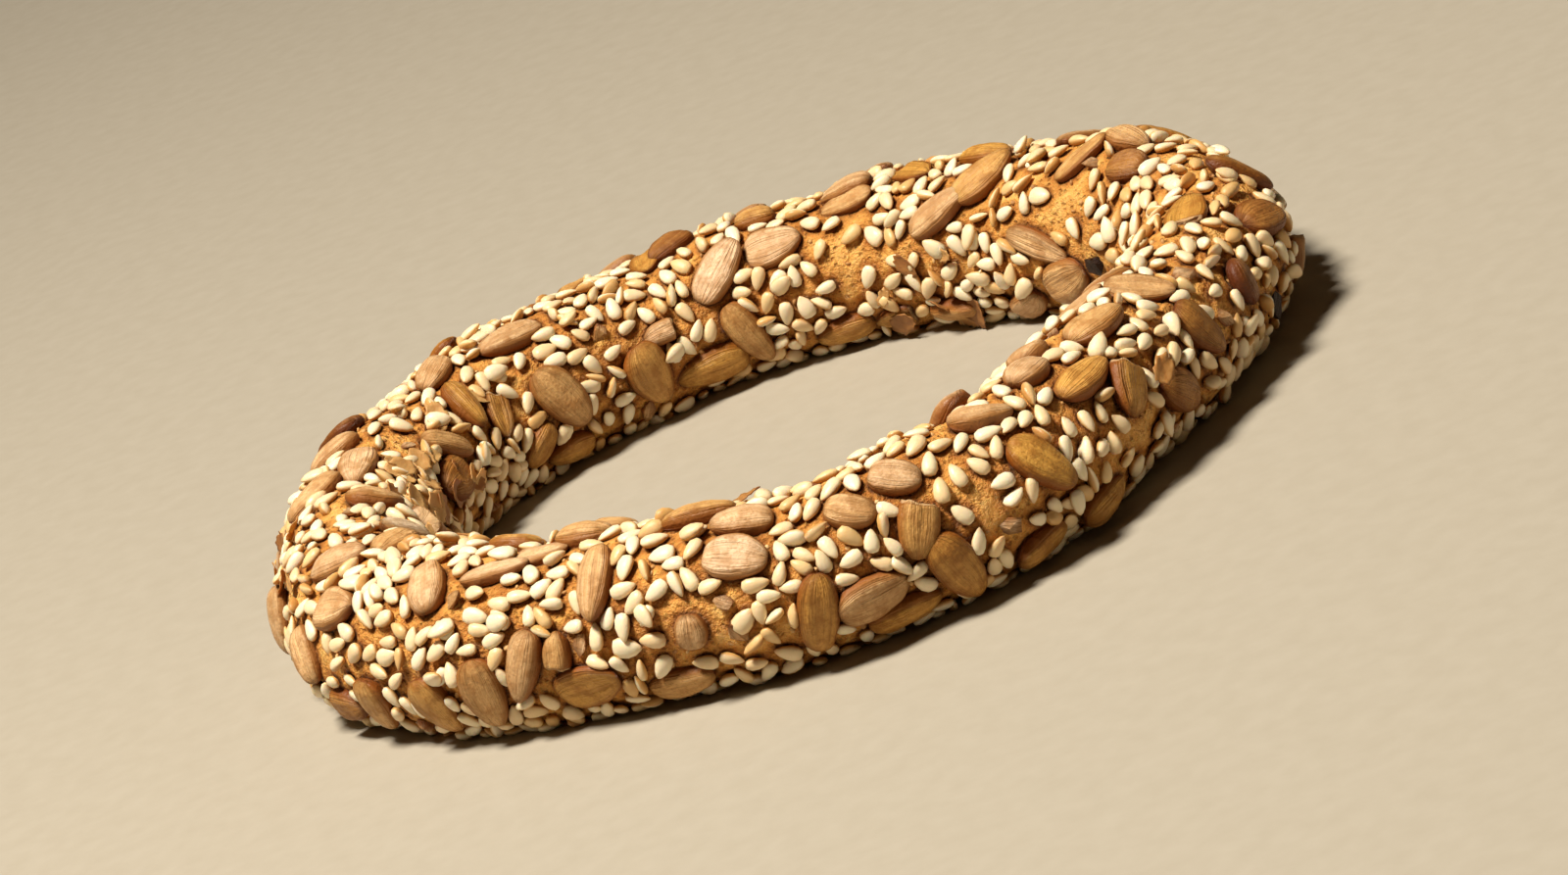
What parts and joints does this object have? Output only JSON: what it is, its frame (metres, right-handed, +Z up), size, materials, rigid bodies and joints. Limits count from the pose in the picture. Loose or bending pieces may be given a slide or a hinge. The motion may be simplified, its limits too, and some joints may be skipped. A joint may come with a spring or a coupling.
{
  "type": "bread ring",
  "caption": "Crisp baked ring of rolled dough, covered with sunflower kernels and sesame, with an open middle and a flat underside.",
  "frame": {"origin": "under the middle of the ring, on the surface that it rests on", "axes": "+Z up, through the ring's hole; +X towards the end where the rope of dough was joined, -Y towards the side that the picture shows nearest"},
  "size_m": [0.1204, 0.1192, 0.0196],
  "materials": {
    "seeded_crust": "baked golden-brown dough under ivory sesame and tan sunflower kernels, matt with a faint sheen on the seeds"
  },
  "bodies": {
    "root": {"bread_ring": "seeded_crust"}
  },
  "joints": []
}
